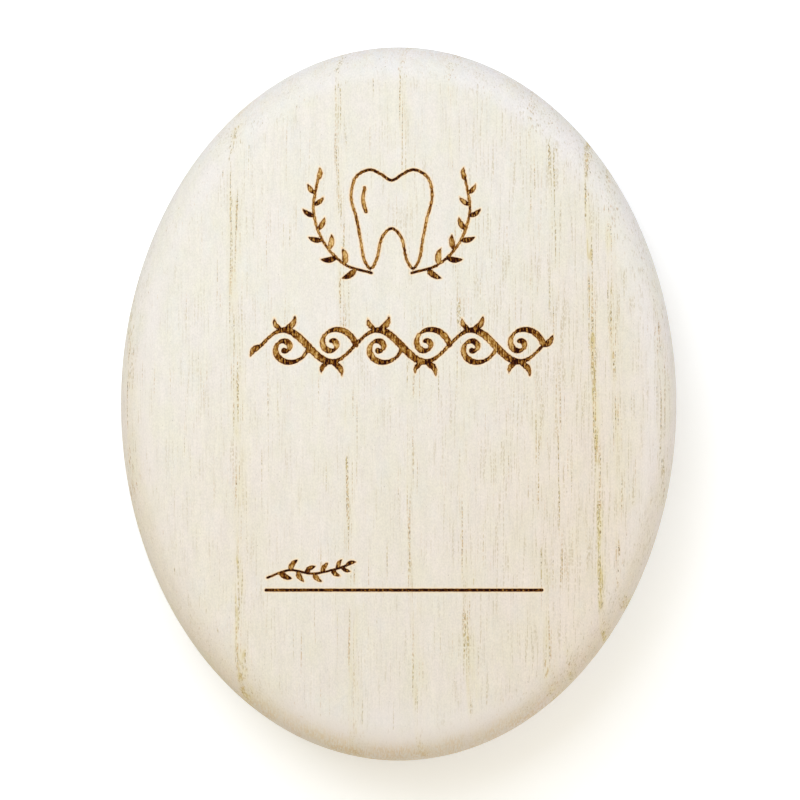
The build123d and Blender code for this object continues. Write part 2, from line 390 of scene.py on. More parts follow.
def sloping_edge(log, colour, slope, end_grain):
    """Where the surface slopes, the fibres are cut slantwise, and it is brown where the ends of the fibres show. A
    pale band on the shoulder is painted highlight, and the steep part is darkened and yellowed as painted shade.
    The brown is strengthened towards the lower end as painted warm shade. The lower end of the board is made paler
    all over as painted highlight."""
    # Painted highlight: the lower end of the board made paler all over
    colour = log.mix(log.smooth(log.y, -48.0, -55.0, 0.0, 0.36), colour, PALE_END_HIGHLIGHT)
    # Painted highlight: a pale band on the shoulder of the rounded edge, stronger along the sides and at the lower
    # end
    pale_highlight = log.times(log.smooth(slope, 0.06, 0.3), log.smooth(slope, 0.72, 0.4))
    share = log.smooth(log.math("ABSOLUTE", log.y), 10.0, 38.0, 0.28, 0.12)
    share = log.math("ADD", share, log.smooth(log.y, -44.0, -56.0, 0.0, 0.3))
    colour = log.stain(colour, SHOULDER_HIGHLIGHT, pale_highlight, share)
    # Painted shade: the steep part of the rounded edge darkened and yellowed
    steep_shade = log.times(log.smooth(slope, 0.35, 0.7), log.smooth(slope, 1.02, 0.8, 0.35, 1.0))
    colour = log.mix(steep_shade, colour, log.tint(colour, STEEP_SHADE_TINT))
    ends = log.noise(log.vector("MULTIPLY", log.here, (1 / 0.2, 1 / 1.1, 1 / 0.8)), detail=1.0)
    brown = log.times(log.smooth(ends, 0.34, 0.66), end_grain)
    # End-grain brown in patches, strengthened towards the lower end as painted warm shade
    end_grain_and_shade_patches = log.smooth(log.grain(4, 5, 91.0), 0.32, 0.66, 0.15, 1.0)
    end_grain_and_shade_patches = log.times(end_grain_and_shade_patches, log.smooth(log.y, 30.0, -50.0, 0.25, 0.56))
    return log.stain(colour, END_GRAIN_AND_SHADE_BROWN, brown, end_grain_and_shade_patches)


def paulownia_group():
    """Bare paulownia as a solid pattern: grain and pores along Y, and rings across X that lean with Z."""
    nodes, given, made = group(
        "paulownia",
        {
            "Vector": ("vector", (0, 0, 0)), "Shift": ("vector", (0, 0, 0)), "End Grain": ("value", 0.0),
            "Slope": ("value", 0.0), "Ring Strength": ("value", 1.0),
        },
        {"Color": "colour", "Height": "value"},
    )
    here = nodes.scaled(given["Vector"], 1 / MM)
    log = Log(nodes.tree, nodes.vector("ADD", here, given["Shift"]))
    fibre = log.grain(0.3, 4, 13.0, 2.0, 0.6)
    fuzz = log.grain(0.22, 0.34, 3.0, 1.0)
    beads = log.grain(0.22, 0.55, 11.0, 1.0)
    specks = nodes.smooth(log.grain(0.21, 0.42, 71.0, 1.0), 0.745, 0.79)

    place, ring, golden = ring_masks(log, given["Ring Strength"])
    colour, porous = ground_colour(log, place)
    colour = nodes.tint(colour, nodes.grey(light_and_dark(log, fibre, fuzz)))
    colour, dashes, dots = ring_rows(log, colour, ring, golden, beads)
    colour = faint_rows(log, colour, porous, beads)
    colour = nodes.stain(colour, SINGLE_PORE, specks, 0.45)
    colour = sloping_edge(log, colour, given["Slope"], given["End Grain"])

    pores = nodes.math("MAXIMUM", nodes.math("MAXIMUM", dashes, dots), specks)
    height = nodes.times_plus(fibre, 0.35, nodes.times(fuzz, 0.25))
    height = nodes.math("SUBTRACT", height, nodes.times(pores, 0.6))
    nodes.feed_all(made, {"Color": colour, "Height": height})
    return nodes.tree


# Colours of burnt wood, from charred to golden
BURNT_COLOURS = (
    (0.0, srgb(40, 6, 0)), (0.25, srgb(94, 44, 4)), (0.5, srgb(148, 98, 31)), (0.75, srgb(196, 152, 84)),
    (1.0, srgb(232, 196, 134)),
)
# Colours of the wood beside it
PALE_SCORCH = srgb(255, 230, 188)
BROWN_SINGE = srgb(200, 140, 76)


def scorch_group():
    """Wood burnt by a laser: a golden floor crossed by dark fibres and beaded by the laser's pulses, dark rims of
    char with painted shade of the groove walls, and on the wood beside it a narrow brown singe and a wider pale
    scorch.
    The pulses make the outline ragged, less so where the line runs squarely across the grain and the char is high."""
    nodes, given, made = group(
        "laser_scorch",
        {"Vector": ("vector", (0, 0, 0)), "Outline Distance": ("value", 1.0), "Char": ("value", 0.5)},
        {"Color": "colour", "Burnt": "value", "Singe": "value", "Scorch": "value", "Height": "value"},
    )
    here = nodes.scaled(given["Vector"], 1 / MM)

    def fibres(across, along, detail=2.0):
        """Noise whose features are so many millimetres across and along the grain."""
        return nodes.noise(nodes.vector("MULTIPLY", here, (1 / across, 1 / along, 1.0)), detail=detail)

    pulses = fibres(0.38, 0.46, 1.0)
    ragged = nodes.smooth(given["Char"], 0.6, 0.88, 0.3, 0.09)
    outline = given["Outline Distance"]
    distance = nodes.times_plus(nodes.math("SUBTRACT", pulses, 0.5), ragged, outline)
    streaks = nodes.smooth(fibres(0.34, 6.0), 0.34, 0.66)
    ticks = nodes.smooth(fibres(0.26, 1.1, 1.0), 0.4, 0.6)
    char = nodes.times_plus(fibres(1.6, 1.8, 1.0), 0.9, nodes.math("SUBTRACT", given["Char"], 0.45))
    char = nodes.math("MAXIMUM", char, 0.0)
    char = nodes.times(char, nodes.times_plus(ticks, -0.76, 1.15))
    beads = nodes.times(nodes.smooth(pulses, 0.38, 0.62), 0.24)
    # Dark rim just inside the outline: char, with painted shade of the groove walls
    rim_char_and_shade = nodes.times(nodes.smooth(distance, -0.23, -0.03), 0.34)
    tone = nodes.times_plus(streaks, 0.28, 0.80)
    tone = nodes.math("SUBTRACT", nodes.math("SUBTRACT", tone, beads), char)
    tone = nodes.math("SUBTRACT", tone, rim_char_and_shade, clamp=True)
    nodes.feed_all(made, {
        "Color": nodes.ramp(tone, BURNT_COLOURS),
        "Burnt": nodes.smooth(distance, 0.03, -0.04),
        "Singe": nodes.smooth(distance, 0.15, -0.02),
        "Scorch": nodes.smooth(distance, 0.42, 0.02),
        "Height": tone,
    })
    return nodes.tree


PAULOWNIA = paulownia_group()
SCORCH = scorch_group()

# Finishes: how much bare wood shines, the depth of each relief in millimetres, and patterns counted per metre
WOOD_SPECULAR = 0.06
WOOD_RELIEF = 0.04
METAL_RELIEF = 0.01
NYLON_RELIEF = 0.02
MARKS_PER_M = 420.0
MOTTLE_PER_M = 1500.0

BRASS = srgb(214, 178, 98)
STEEL = srgb(200, 200, 198)
NICKEL = srgb(128, 125, 119)
NYLON = (srgb(232, 229, 216), srgb(244, 242, 234))
FLOOR_PAINT = (srgb(238, 238, 238), srgb(242, 242, 242))


def material(name):
    """A new material, with its nodes, its shader and the piece's own coordinates."""
    made = bpy.data.materials.new(name)
    made.use_nodes = True
    made.node_tree.nodes.clear()
    nodes = Nodes(made.node_tree)
    shader = nodes.add("ShaderNodeBsdfPrincipled")
    nodes.add("ShaderNodeOutputMaterial", {"Surface": shader.outputs[0]})
    coordinates = nodes.add("ShaderNodeTexCoord").outputs
    return made, nodes, shader, coordinates


def place_group(nodes, tree, inputs):
    """A group placed in a material with its own values."""
    return nodes.add("ShaderNodeGroup", inputs, node_tree=tree).outputs


def feed_surface(nodes, shader, colour, roughness, height, depth, strength):
    """Feeds a surface its colour, its roughness, and a height as relief so many millimetres deep."""
    bump = {"Height": height, "Distance": depth * MM, "Strength": strength}
    normal = nodes.add("ShaderNodeBump", bump).outputs[0]
    nodes.feed_all(shader, {"Base Color": colour, "Roughness": roughness, "Normal": normal})


def wood_nodes(nodes, coordinates, shift, rings=1.0):
    """The shared wood, told where the surface slopes and cuts across the grain."""
    _, along, up = nodes.split(coordinates["Normal"])
    end_grain = nodes.smooth(nodes.math("ABSOLUTE", along), 0.3, 0.9)
    upright = nodes.times(up, up)
    slope = nodes.math("SQRT", nodes.math("SUBTRACT", 1.0, upright, clamp=True))
    inputs = {
        "Vector": coordinates["Object"], "Shift": shift, "End Grain": end_grain, "Slope": slope,
        "Ring Strength": rings,
    }
    return place_group(nodes, PAULOWNIA, inputs)


def finish_wood(nodes, shader, colour, grain_height, height):
    """Feeds a surface of bare sanded wood: matt, with fine fibres that catch the light."""
    rough = nodes.smooth(grain_height, -0.4, 0.6, 0.86, 0.66)
    feed_surface(nodes, shader, colour, rough, height, WOOD_RELIEF, 0.6)
    shader.inputs["Specular IOR Level"].default_value = WOOD_SPECULAR


def bare_wood(name, shift, rings):
    """Plain wood, cut from a place in the log."""
    made, nodes, shader, coordinates = material(name)
    wood = wood_nodes(nodes, coordinates, shift, rings)
    finish_wood(nodes, shader, wood["Color"], wood["Height"], wood["Height"])
    return made


def engraved_wood(shift):
    """The lid's wood with its burnt grooves, read from the piece's outline_distance and char attributes."""
    made, nodes, shader, coordinates = material("engraved_wood")
    wood = wood_nodes(nodes, coordinates, shift)
    distance = nodes.add("ShaderNodeAttribute", attribute_name="outline_distance").outputs["Fac"]
    char = nodes.add("ShaderNodeAttribute", attribute_name="char").outputs["Fac"]
    inputs = {"Vector": coordinates["Object"], "Outline Distance": distance, "Char": char}
    burn = place_group(nodes, SCORCH, inputs)
    colour = nodes.stain(wood["Color"], PALE_SCORCH, burn["Scorch"], 0.66)
    colour = nodes.stain(colour, BROWN_SINGE, burn["Singe"], 0.56)
    colour = nodes.mix(burn["Burnt"], colour, burn["Color"])
    relief = nodes.times(burn["Burnt"], burn["Height"])
    height = nodes.times_plus(relief, 1.2, wood["Height"])
    finish_wood(nodes, shader, colour, wood["Height"], height)
    return made


def burnt_numeral():
    """Numerals burnt dark into the tray."""
    made, nodes, shader, coordinates = material("burnt_numeral")
    inputs = {"Vector": coordinates["Object"], "Outline Distance": -0.15, "Char": 0.55}
    burn = place_group(nodes, SCORCH, inputs)
    rough = nodes.smooth(burn["Height"], 0.0, 1.0, 0.9, 0.7)
    nodes.feed_all(shader, {"Base Color": burn["Color"], "Roughness": rough})
    return made


def turned_metal(name, colour, centre, roughness, ring_width):
    """Metal of a round piece: fine rings about its upright axis, and faint handling marks."""
    made, nodes, shader, coordinates = material(name)
    offset = nodes.vector("SUBTRACT", coordinates["Object"], centre)
    radius = nodes.measure("LENGTH", nodes.vector("MULTIPLY", offset, (1 / MM, 1 / MM, 0.0)))
    turn = nodes.add("ShaderNodeCombineXYZ", {"X": nodes.math("DIVIDE", radius, ring_width)}).outputs[0]
    rings = nodes.noise(turn)
    marks = nodes.noise(nodes.scaled(offset, MARKS_PER_M), detail=4.0)
    dull = nodes.times_plus(rings, 0.08, roughness - 0.1)
    dull = nodes.times_plus(marks, 0.12, dull)
    shade = nodes.tint(colour, nodes.grey(nodes.smooth(marks, 0.3, 0.7, 0.92, 1.0)))
    feed_surface(nodes, shader, shade, dull, rings, METAL_RELIEF, 0.3)
    shader.inputs["Metallic"].default_value = 1.0
    return made


def moulded_nylon():
    """Natural nylon, off-white, with a faint moulded mottle."""
    made, nodes, shader, coordinates = material("natural_nylon")
    mottle = nodes.noise(nodes.scaled(coordinates["Object"], MOTTLE_PER_M), detail=3.0)
    rough = nodes.smooth(mottle, 0.3, 0.7, 0.42, 0.58)
    feed_surface(nodes, shader, nodes.mix(mottle, *NYLON), rough, mottle, NYLON_RELIEF, 0.4)
    return made


# Points of each stretch of a curve, of a volute and of a leaf
PATH_STEPS = 14
VOLUTE_STEPS = 90
LEAF_STEPS = 16
# How fast a volute closes, and the angle at which the broad nib is held
VOLUTE_TIGHTNESS = 2.3
NIB_ANGLE = 0.72
# Leaves of a stem: how many, where on it the first and last stand, how much they shrink along it, how they
# bend, and the leaf at the tip as shares of the others' length and width, with its bend
STEM_LEAVES = 9
FIRST_LEAF_SHARE = 0.16
LAST_LEAF_SHARE = 0.9
LEAF_SHRINK_SHARE = 0.35
LEAF_BEND = 0.1
TIP_LENGTH_SHARE = 0.7
TIP_WIDTH_SHARE = 0.75
TIP_BEND = 0.12


def smooth_path(points, closed=False):
    """A Catmull-Rom curve: between two points, the cubic whose slope at each is half the chord round it."""
    knots = np.array(points, float)
    if closed:
        knots = np.vstack([knots[-1:], knots, knots[:2]])
    else:
        knots = np.vstack([2 * knots[0] - knots[1], knots, 2 * knots[-1] - knots[-2]])
    t = np.linspace(0, 1, PATH_STEPS, endpoint=False)[None, :, None]
    before, start, end, after = (knots[i:len(knots) - 3 + i, None, :] for i in range(4))
    cubic = 0.5 * (
        2 * start + (end - before) * t
        + (2 * before - 5 * start + 4 * end - after) * t ** 2
        + (3 * start - before - 3 * end + after) * t ** 3
    )
    return np.vstack([cubic.reshape(-1, 2), knots[-2]])


def volute(centre, outer, inner, turns):
    """A spiral from the right of its centre: its radius falls off exponentially from outer to inner while its
    angle, in turns, runs on steadily."""
    t = np.linspace(0, 1, VOLUTE_STEPS)
    radius = inner + (outer - inner) * np.exp(-VOLUTE_TIGHTNESS * abs(turns) * t)
    angle = 2 * math.pi * turns * t
    return np.array(centre) + radius[:, None] * np.column_stack([np.cos(angle), np.sin(angle)])


def headings(points):
    """The direction of a path at each of its points, as an angle."""
    ahead = np.gradient(points, axis=0)
    return np.arctan2(ahead[:, 1], ahead[:, 0])


def plain_stroke(points, width):
    """A line of one width, as its points and its half width at each."""
    return points, np.full(len(points), width / 2)


def nib_stroke(points, thin, thick):
    """A line drawn with a broad nib held at an angle: its width follows the sine of the angle to the nib."""
    width = thin + (thick - thin) * np.abs(np.sin(headings(points) - NIB_ANGLE))
    return points, width / 2


def leaf(place, angle, length, width, bend):
    """A leaf: a short arc whose width swells as a half sine, fullest nearer its foot, and ends in a point."""
    t = np.linspace(0, 1, LEAF_STEPS)
    spine = np.column_stack([length * t, bend * length * np.sin(math.pi * t)])
    halves = width / 2 * np.sin(math.pi * t ** 0.75) ** 0.8
    c, s = math.cos(angle), math.sin(angle)
    return spine @ np.array([[c, s], [-s, c]]) + np.array(place), halves


def leafy_stem(points, stem_width, length, width, lean):
    """A stem with leaves in turn on its two sides, each leaning off it by an angle, and one at its tip."""
    strokes = [plain_stroke(points, stem_width)]
    angles = headings(points)
    for number, share in enumerate(np.linspace(FIRST_LEAF_SHARE, LAST_LEAF_SHARE, STEM_LEAVES)):
        at = int(share * (len(points) - 1))
        side = 1 if number % 2 else -1
        size = 1 - LEAF_SHRINK_SHARE * share
        angle = angles[at] + side * lean
        strokes.append(leaf(points[at], angle, length * size, width * size, LEAF_BEND * side))
    tip = leaf(points[-1], angles[-1], length * TIP_LENGTH_SHARE, width * TIP_WIDTH_SHARE, TIP_BEND)
    return strokes + [tip]


def mirrored(strokes, middle):
    """Strokes reflected about an upright line."""
    return [(points * (-1, 1) + (2 * middle, 0), halves) for points, halves in strokes]


# The tooth between two sprays, high on the lid. A spray's leaf has its length, width and lean
TOOTH_MIDDLE = (-1.2, 32.2)
TOOTH_HALF_OUTLINE = (
    (0.0, 5.9), (1.9, 7.0), (3.9, 7.7), (6.2, 6.3), (6.9, 3.0), (6.0, -0.6), (5.3, -4.2),
    (4.7, -7.6), (3.6, -9.1), (2.5, -7.4), (1.7, -4.0), (0.0, -2.3),
)
TOOTH_SHINE = ((-4.6, 4.6), (-4.9, 2.6), (-4.4, 0.6))
SHINE_WIDTH = 0.7
SPRAY_STEM = ((3.4, -9.9), (8.0, -8.4), (11.6, -4.6), (13.3, 0.6), (12.6, 6.0))
SPRAY_LINE = 0.44
SPRAY_LEAF = (3.1, 1.15, 0.85)


def tooth_and_sprays():
    """A plain molar in outline between two leafy sprays."""
    half = np.array(TOOTH_HALF_OUTLINE)
    whole = np.vstack([half, half[-2:0:-1] * (-1, 1)])
    middle = np.array(TOOTH_MIDDLE)
    tooth = plain_stroke(smooth_path(whole, closed=True) + middle, THIN_LINE)
    shine = nib_stroke(smooth_path(TOOTH_SHINE) + middle, FINE_LINE, SHINE_WIDTH)
    spray = leafy_stem(smooth_path(SPRAY_STEM) + middle, SPRAY_LINE, *SPRAY_LEAF)
    return [tooth, shine] + spray + mirrored(spray, TOOTH_MIDDLE[0])


# The running scroll across the lid: its stem, with the nib's thin and thick widths
SCROLL_LEFT = -23.5
SCROLL_WAVE = 8.0
SCROLL_MIDDLE = 9.9
SCROLL_RISE = 2.7
SCROLL_WAVES = 6
WAVE_STEPS = 64
STEM_NIB = (0.5, 1.2)
# A curl: how far its centre is moved from the wave's middle, the radius of its eye, its turns and its nib
CURL_ASIDE = 0.15
CURL_BACK = 0.25
CURL_EYE = 0.42
CURL_TURNS = 1.3
CURL_NIB = (0.48, 1.05)
# Leaves: at the ends their length, width and bend, and at the crests their place and angle before those
END_LEAF = (2.6, 1.05, -0.15)
CREST_LIFT = 0.2
CREST_LEAVES = ((0.1, 0.92, 2.9, 1.05, -0.2), (-0.5, 2.15, 2.2, 0.85, 0.2))


def running_scroll():
    """A wavy stem with a volute curled into each wave and leaves at its crests, drawn with a broad nib."""
    t = np.linspace(0, SCROLL_WAVES, WAVE_STEPS * SCROLL_WAVES + 1)
    height = SCROLL_MIDDLE + SCROLL_RISE * np.sin(math.pi * t)
    stem = np.column_stack([SCROLL_LEFT + SCROLL_WAVE * t, height])
    end = headings(stem)[-1]
    strokes = [nib_stroke(stem, *STEM_NIB)]
    strokes += [leaf(stem[0], end + math.pi, *END_LEAF), leaf(stem[-1], end, *END_LEAF)]
    for wave in range(SCROLL_WAVES):
        up = -1 if wave % 2 else 1
        x = SCROLL_LEFT + SCROLL_WAVE * (wave + 0.5)
        centre = (x + CURL_ASIDE, SCROLL_MIDDLE - CURL_BACK * up)
        strokes.append(nib_stroke(volute(centre, SCROLL_WAVE / 2, CURL_EYE, -CURL_TURNS * up), *CURL_NIB))
        crest = SCROLL_MIDDLE + up * (SCROLL_RISE + CREST_LIFT)
        for aside, angle, length, width, bend in CREST_LEAVES:
            strokes.append(leaf((x + aside, crest), up * angle, length, width, bend * up))
    return strokes


# The writing line, and the sprig above its left end with its leaf's length, width and lean
WRITING_LINE = ((-22.6, -31.7), (24.4, -31.7))
WRITING_LINE_WIDTH = 0.52
WRITING_LINE_STEPS = 60
SPRIG_STEM = ((-22.4, -29.6), (-18.6, -28.3), (-14.8, -28.9), (-11.0, -28.2), (-8.9, -27.5))
SPRIG_LEAF = (2.5, 1.0, 0.8)


def writing_line_and_sprig():
    """A ruled line to write on, with a small sprig over its left end."""
    line = plain_stroke(np.linspace(*WRITING_LINE, WRITING_LINE_STEPS), WRITING_LINE_WIDTH)
    return [line] + leafy_stem(smooth_path(SPRIG_STEM), FINE_LINE, *SPRIG_LEAF)


def measure_burn(x, y, strokes):
    """Distance from each point to the nearest stroke's outline, less than nought inside it, and how charred
    it is. The distance to a stroke is the least distance to its segments, less the half width there. The char
    rises with powers of how squarely the line crosses the grain, and towards line ends."""
    here = np.column_stack([x.ravel(), y.ravel()])
    distance = np.full(len(here), BURN_REACH)
    char = np.zeros(len(here))
    for points, halves in strokes:
        reach = BURN_REACH + halves.max()
        near = np.all((here > points.min(0) - reach) & (here < points.max(0) + reach), axis=1)
        chosen = np.flatnonzero(near)
        if not len(chosen):
            continue
        start, run = points[:-1], np.diff(points, axis=0)
        length = np.maximum(np.hypot(*run.T), 1e-9)
        along = np.concatenate([[0], np.cumsum(length)])
        offset = here[chosen, None, :] - start[None]
        share = np.clip((offset * run).sum(2) / length ** 2, 0, 1)
        gap = np.hypot(*np.moveaxis(offset - share[..., None] * run, 2, 0))
        gap -= halves[:-1] + share * np.diff(halves)
        best = gap.argmin(1)
        rows = np.arange(len(chosen))
        found = gap[rows, best]
        travelled = along[best] + share[rows, best] * length[best]
        to_end = np.minimum(travelled, along[-1] - travelled)
        across = np.abs(run[best, 0]) / length[best]
        charred = CHAR_ALONG + CHAR_ACROSS * across ** 2 + CHAR_SQUARE * across ** 8
        charred += CHAR_END * np.exp(-to_end / CHAR_END_REACH)
        closer = found < distance[chosen]
        distance[chosen[closer]] = found[closer]
        char[chosen[closer]] = charred[closer]
    return distance.reshape(x.shape), np.clip(char, 0, 1).reshape(x.shape)


def weld(points, digits):
    """Each place once, where points agree to so many digits, and every point's number among them."""
    rounded = np.round(points, digits)
    _, first, number = np.unique(rounded, axis=0, return_index=True, return_inverse=True)
    return points[first], number.ravel()


class Shell:
    """Vertices and faces of one closed surface, gathered patch by patch and welded where patches meet."""

    def __init__(self):
        self.points, self.quads, self.triangles, self.count = [], [], [], 0

    def take(self, points):
        """Adds points and returns the number of the first."""
        first = self.count
        self.points.append(points)
        self.count += len(points)
        return first

    def grid(self, points, closed=False):
        """A patch of points in rows and columns. A closed one joins its last column to its first."""
        rows, columns = points.shape[:2]
        number = np.arange(rows * columns).reshape(rows, columns) + self.take(points.reshape(-1, 3))
        right = np.roll(number, -1, axis=1) if closed else number[:, 1:]
        left = number if closed else number[:, :-1]
        corners = np.stack([left[:-1], right[:-1], right[1:], left[1:]], axis=-1)
        self.quads.append(corners.reshape(-1, 4))

    def plate(self, outer, holes, z, upwards):
        """A flat plate at one height, from an outer loop to hole loops, filled with Delaunay triangles."""
        loops = [outer] + holes
        flat = np.vstack(loops)
        edges, first = [], 0
        for loop in loops:
            numbers = np.arange(len(loop)) + first
            edges += np.column_stack([numbers, np.roll(numbers, -1)]).tolist()
            first += len(loop)
        corners = [tuple(p) for p in flat.tolist()]
        _, _, faces, source, _, _ = delaunay_2d_cdt(corners, edges, [], 1, PLATE_TOLERANCE)
        origin = np.array([ids[0] for ids in source])
        triangles = origin[np.array(faces)]
        middles = flat[triangles].mean(1)
        keep = np.ones(len(triangles), bool)
        for loop in holes:
            keep &= ~inside(middles, loop)
        triangles = triangles[keep]
        if not upwards:
            triangles = triangles[:, ::-1]
        self.triangles.append(triangles + self.take(at_height(flat, z)))

    def mesh(self, name):
        """The welded mesh, and its points in millimetres."""
        points, number = weld(np.vstack(self.points), LID_WELD_DIGITS)
        faces = [face for part in (self.quads, self.triangles) for face in number[np.vstack(part)].tolist()]
        mesh = bpy.data.meshes.new(name)
        mesh.from_pydata((points * MM).tolist(), [], faces, shade_flat=False)
        mesh.validate()
        return mesh, points


def inside(points, loop):
    """Which points lie inside a loop, by counting the loop's crossings of a ray to the right."""
    x, y = points[:, 0, None], points[:, 1, None]
    x0, y0 = loop[:, 0], loop[:, 1]
    x1, y1 = np.roll(x0, -1), np.roll(y0, -1)
    spans = (y0 > y) != (y1 > y)
    rise = np.where(y1 == y0, 1.0, y1 - y0)
    crossing = x0 + (y - y0) / rise * (x1 - x0)
    return (spans & (x < crossing)).sum(1) % 2 == 1


def arc(radius, start, end, steps):
    """Points of an arc about zero."""
    angle = np.linspace(start, end, steps + 1)
    return np.column_stack([radius * np.cos(angle), radius * np.sin(angle)])


def ellipse(half_width, half_length, steps):
    """A loop round zero, counted anticlockwise."""
    angle = 2 * math.pi * np.arange(steps) / steps
    return np.column_stack([half_width * np.cos(angle), half_length * np.sin(angle)])


def at_height(points, z):
    """Flat points lifted to one height."""
    return np.column_stack([points, np.full(len(points), z)])


def border(x, y):
    """The loop round a grid, counted anticlockwise."""
    columns = [np.concatenate([v[0, :-1], v[:-1, -1], v[-1, :0:-1], v[:0:-1, 0]]) for v in (x, y)]
    return np.column_stack(columns)


def box_mm(node):
    """Lowest and highest corner of a node, in millimetres."""
    return tuple(np.array(corner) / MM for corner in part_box(node))


def carved_patch(strokes):
    """Even grid over some strokes, with its vertices near an outline drawn onto it, and each vertex's depth.
    The depth is nought outside the outline and falls to the full depth over one cell inside it."""
    margin = BURN_REACH + CARVED_CELL
    low = np.min([points.min(0) - halves.max() for points, halves in strokes], axis=0) - margin
    high = np.max([points.max(0) + halves.max() for points, halves in strokes], axis=0) + margin
    lines = [np.linspace(a, b, int((b - a) / CARVED_CELL) + 1) for a, b in zip(low, high)]
    x, y = np.meshgrid(*lines)
    distance, _ = measure_burn(x, y, strokes)
    slope_y, slope_x = np.gradient(distance, lines[1], lines[0])
    close = np.abs(distance) < CARVED_CELL / 2
    size = np.maximum(np.hypot(slope_x, slope_y), FLATTEST_SLOPE)
    x = x - np.where(close, distance * slope_x / size ** 2, 0)
    y = y - np.where(close, distance * slope_y / size ** 2, 0)
    inner = np.where(close, 0, distance)
    fibres = np.random.default_rng(FLOOR_SEED).normal(0, FLOOR_UNEVENNESS, len(lines[0]))[None, :]
    depth = np.clip(-inner / CARVED_CELL, 0, 1) * (BURN_DEPTH + fibres)
    return x, y, depth


def edge_rings(low, high):
    """Loops of the lid's edge from its face down. A profile is carried round the ellipse: at each angle the
    outline's point is moved inwards by the profile's inset and to its height. The profile is a quarter circle
    at the top and a small one at the seam."""
    outline = ellipse(high[0], high[1], OUTLINE_STEPS)
    normal = ellipse(high[1], high[0], OUTLINE_STEPS)
    normal /= np.hypot(*normal.T)[:, None]
    top_arc = arc(TOP_ROUND, math.pi / 2, 0, ROUND_STEPS)
    seam_arc = arc(SEAM_BREAK, 0, -math.pi / 2, SEAM_STEPS)
    inset = np.concatenate([TOP_ROUND - top_arc[:, 0], SEAM_BREAK - seam_arc[:, 0]])
    height = np.concatenate([high[2] - TOP_ROUND + top_arc[:, 1], low[2] + SEAM_BREAK + seam_arc[:, 1]])
    return np.array([at_height(outline - inwards * normal, z) for inwards, z in zip(inset, height)])


def pocket(shell, node, mouth_height, depth):
    """Adds the wall and roof of a round pocket for a node in the lid's underside. Returns its mouth."""
    low, high = box_mm(node)
    radius = (high[1] - low[1]) / 2 + GLUE_CLEARANCE
    mouth = ((low + high) / 2)[:2] + ellipse(radius, radius, POCKET_STEPS)
    roof_height = mouth_height + depth
    shell.grid(np.array([at_height(mouth, roof_height), at_height(mouth, mouth_height)]), closed=True)
    shell.plate(mouth, [], roof_height, upwards=False)
    return mouth


def set_burn_attributes(mesh, points, face_height, strokes):
    """Gives a mesh its outline_distance and char attributes, measured near the face."""
    distance = np.full(len(points), BURN_REACH)
    char = np.zeros(len(points))
    face = np.flatnonzero(points[:, 2] > face_height - 2 * BURN_DEPTH)
    distance[face], char[face] = measure_burn(points[face, 0], points[face, 1], strokes)
    for name, values in (("outline_distance", distance), ("char", char)):
        attribute = mesh.attributes.new(name, "FLOAT", "POINT")
        attribute.data.foreach_set("value", values.astype(np.float32))


def new_object(name, data):
    """An object in the scene for a mesh, text, lamp or camera."""
    made = bpy.data.objects.new(name, data)
    bpy.context.scene.collection.objects.link(made)
    return made


def show(name, mesh, finish):
    """An object for a mesh, with its finish."""
    mesh.materials.append(finish)
    return new_object(name, mesh)


def lid_board():
    """The lid as one closed surface: rounded edge, carved face, and underside with three pockets."""
    low, high = box_mm("lid")
    rings = edge_rings(low, high)
    shell = Shell()
    shell.grid(rings[::-1], closed=True)

    holes = []
    ornament = [tooth_and_sprays(), running_scroll(), writing_line_and_sprig()]
    for strokes in ornament:
        x, y, depth = carved_patch(strokes)
        shell.grid(np.stack([x, y, high[2] - depth], axis=2))
        holes.append(border(x, y))
    shell.plate(rings[0, :, :2], holes, high[2], upwards=True)

    pockets = [
        pocket(shell, "lid_insert", low[2], INSERT_HOLE_DEPTH),
        pocket(shell, "lid_magnet_left", low[2], MAGNET_POCKET_DEPTH),
        pocket(shell, "lid_magnet_right", low[2], MAGNET_POCKET_DEPTH),
    ]
    shell.plate(rings[-1, :, :2], pockets, low[2], upwards=False)

    mesh, points = shell.mesh("lid_board")
    set_burn_attributes(mesh, points, high[2], sum(ornament, []))
    mesh.set_sharp_from_angle(angle=SHARP_ANGLE)
    return show("lid_board", mesh, engraved_wood((0.0, 0.0, -high[2])))


# Numerals beside the wells
NUMERAL_SIZE = 4.6
NUMERAL_SINK = 0.02
NUMERAL_GAP = 1.0
NUMERAL_WELD_DIGITS = 4


def numeral(number):
    """Corners and faces of a number that lies flat about its own middle."""
    curve = bpy.data.curves.new("numeral", "FONT")
    curve.body = str(number)
    curve.size = NUMERAL_SIZE
    curve.extrude = NUMERAL_SINK
    curve.align_x = curve.align_y = "CENTER"
    text = new_object("numeral", curve)
    bpy.context.view_layer.update()
    flat = bpy.data.meshes.new_from_object(text.evaluated_get(bpy.context.evaluated_depsgraph_get()))
    bpy.data.objects.remove(text)
    return np.array([v.co for v in flat.vertices]), [np.array(face.vertices) for face in flat.polygons]


